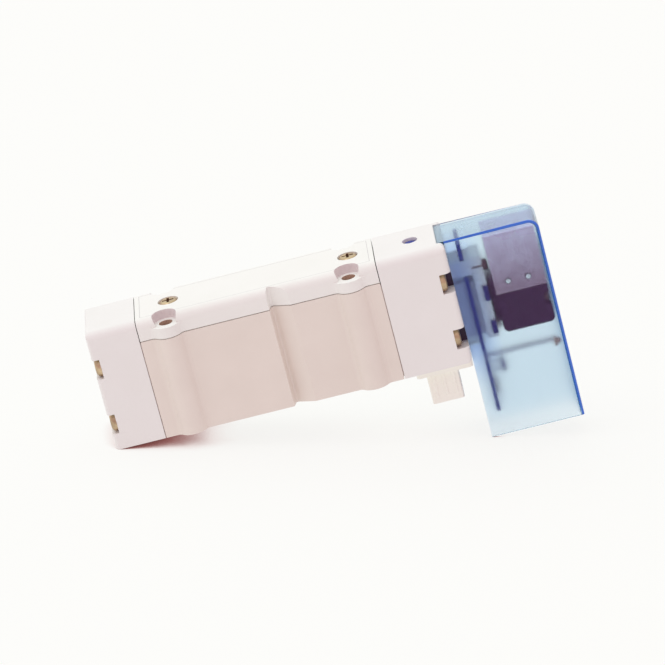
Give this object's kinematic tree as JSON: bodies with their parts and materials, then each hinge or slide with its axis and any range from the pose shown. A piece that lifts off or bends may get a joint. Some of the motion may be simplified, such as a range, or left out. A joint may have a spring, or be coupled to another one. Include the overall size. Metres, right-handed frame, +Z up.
{
  "type": "solenoid directional valve",
  "caption": "Narrow base-mounted pneumatic spool valve with a pilot solenoid under a see-through cover, a push override and a plug-in connector.",
  "frame": {"origin": "centre of the body's mounting face, midway between the four mounting holes", "axes": "+X along the valve towards the pilot cover, +Y across its width, +Z up from the mounting face to the face with the screws and the override"},
  "size_m": [0.1116, 0.0242, 0.0521],
  "materials": {
    "housing_plastic": "satin moulded, off-white",
    "body_paint": "satin paint, warm off-white",
    "plate_plastic": "satin moulded, near white",
    "ivory_plastic": "satin moulded, ivory",
    "rubber": "matt black",
    "plated_steel": "bright zinc plating",
    "yellow_plating": "yellow passivated zinc plating",
    "contact_metal": "bright",
    "solder_metal": "bright tinned",
    "yoke_steel": "bright plated sheet",
    "sleeve_aluminium": "ground",
    "copper_wire": "enamelled copper",
    "black_plastic": "satin black",
    "board_laminate": "solder-resist green",
    "override_blue": "satin blue",
    "lamp_lens": "clear lens",
    "tinted_cover": "see-through light blue"
  },
  "bodies": {
    "valve": {"adapter_gasket": "rubber", "adapter_screw_far_lower": "yellow_plating", "adapter_screw_far_upper": "yellow_plating", "adapter_screw_near_lower": "yellow_plating", "adapter_screw_near_upper": "yellow_plating", "base_gasket": "rubber", "block_screw_lower": "plated_steel", "block_screw_upper": "plated_steel", "circuit_board": "board_laminate", "coil_bobbin": "black_plastic", "coil_terminal_1": "solder_metal", "coil_terminal_2": "solder_metal", "coil_winding": "copper_wire", "connector_contact_1": "contact_metal", "connector_contact_2": "contact_metal", "connector_contact_3": "contact_metal", "connector_housing": "ivory_plastic", "end_cover": "housing_plastic", "end_cover_gasket": "rubber", "end_cover_screw_far_lower": "plated_steel", "end_cover_screw_far_upper": "plated_steel", "end_cover_screw_near_lower": "plated_steel", "end_cover_screw_near_upper": "plated_steel", "indicator_lamp": "lamp_lens", "lamp_board": "board_laminate", "override_spring": "plated_steel", "pilot_adapter": "housing_plastic", "pilot_body": "black_plastic", "pilot_core": "plated_steel", "pilot_cover": "tinted_cover", "pilot_gasket": "rubber", "pilot_mounting_block": "housing_plastic", "pilot_screw_far": "plated_steel", "pilot_screw_near": "plated_steel", "pilot_yoke": "yoke_steel", "plunger_spring": "plated_steel", "return_spring": "plated_steel", "series_resistor": "black_plastic", "sleeve_seal_1": "rubber", "sleeve_seal_2": "rubber", "sleeve_seal_3": "rubber", "sleeve_seal_4": "rubber", "sleeve_seal_5": "rubber", "sleeve_seal_6": "rubber", "spool_sleeve": "sleeve_aluminium", "surge_diode": "black_plastic", "top_plate": "plate_plastic", "top_plate_gasket": "rubber", "top_plate_screw_left": "yellow_plating", "top_plate_screw_right": "yellow_plating", "valve_body": "body_paint"},
    "spool_train": {"spool": "plated_steel", "drive_piston": "ivory_plastic", "drive_piston_seal": "rubber", "return_piston": "ivory_plastic", "return_piston_seal": "rubber"},
    "override": {"override_button": "override_blue", "override_seal": "rubber"},
    "plunger": {"pilot_plunger": "plated_steel", "plunger_seal": "rubber"}
  },
  "joints": [
    {"name": "spool_slide", "type": "slide", "parent": "valve", "child": "spool_train", "axis": [-1, 0, 0], "range_m": [0, 0.0042], "stiffness_N_per_m": 400, "springref_m": -0.004, "deforming": ["return_spring"]},
    {"name": "override_push", "type": "slide", "parent": "valve", "child": "override", "axis": [0, 0, -1], "range_m": [0, 0.0012], "stiffness_N_per_m": 500, "springref_m": -0.001, "deforming": ["override_spring"]},
    {"name": "plunger_lift", "type": "slide", "parent": "valve", "child": "plunger", "axis": [0, 0, 1], "range_m": [0, 0.0005], "stiffness_N_per_m": 600, "springref_m": -0.0005, "deforming": ["plunger_spring"]}
  ]
}
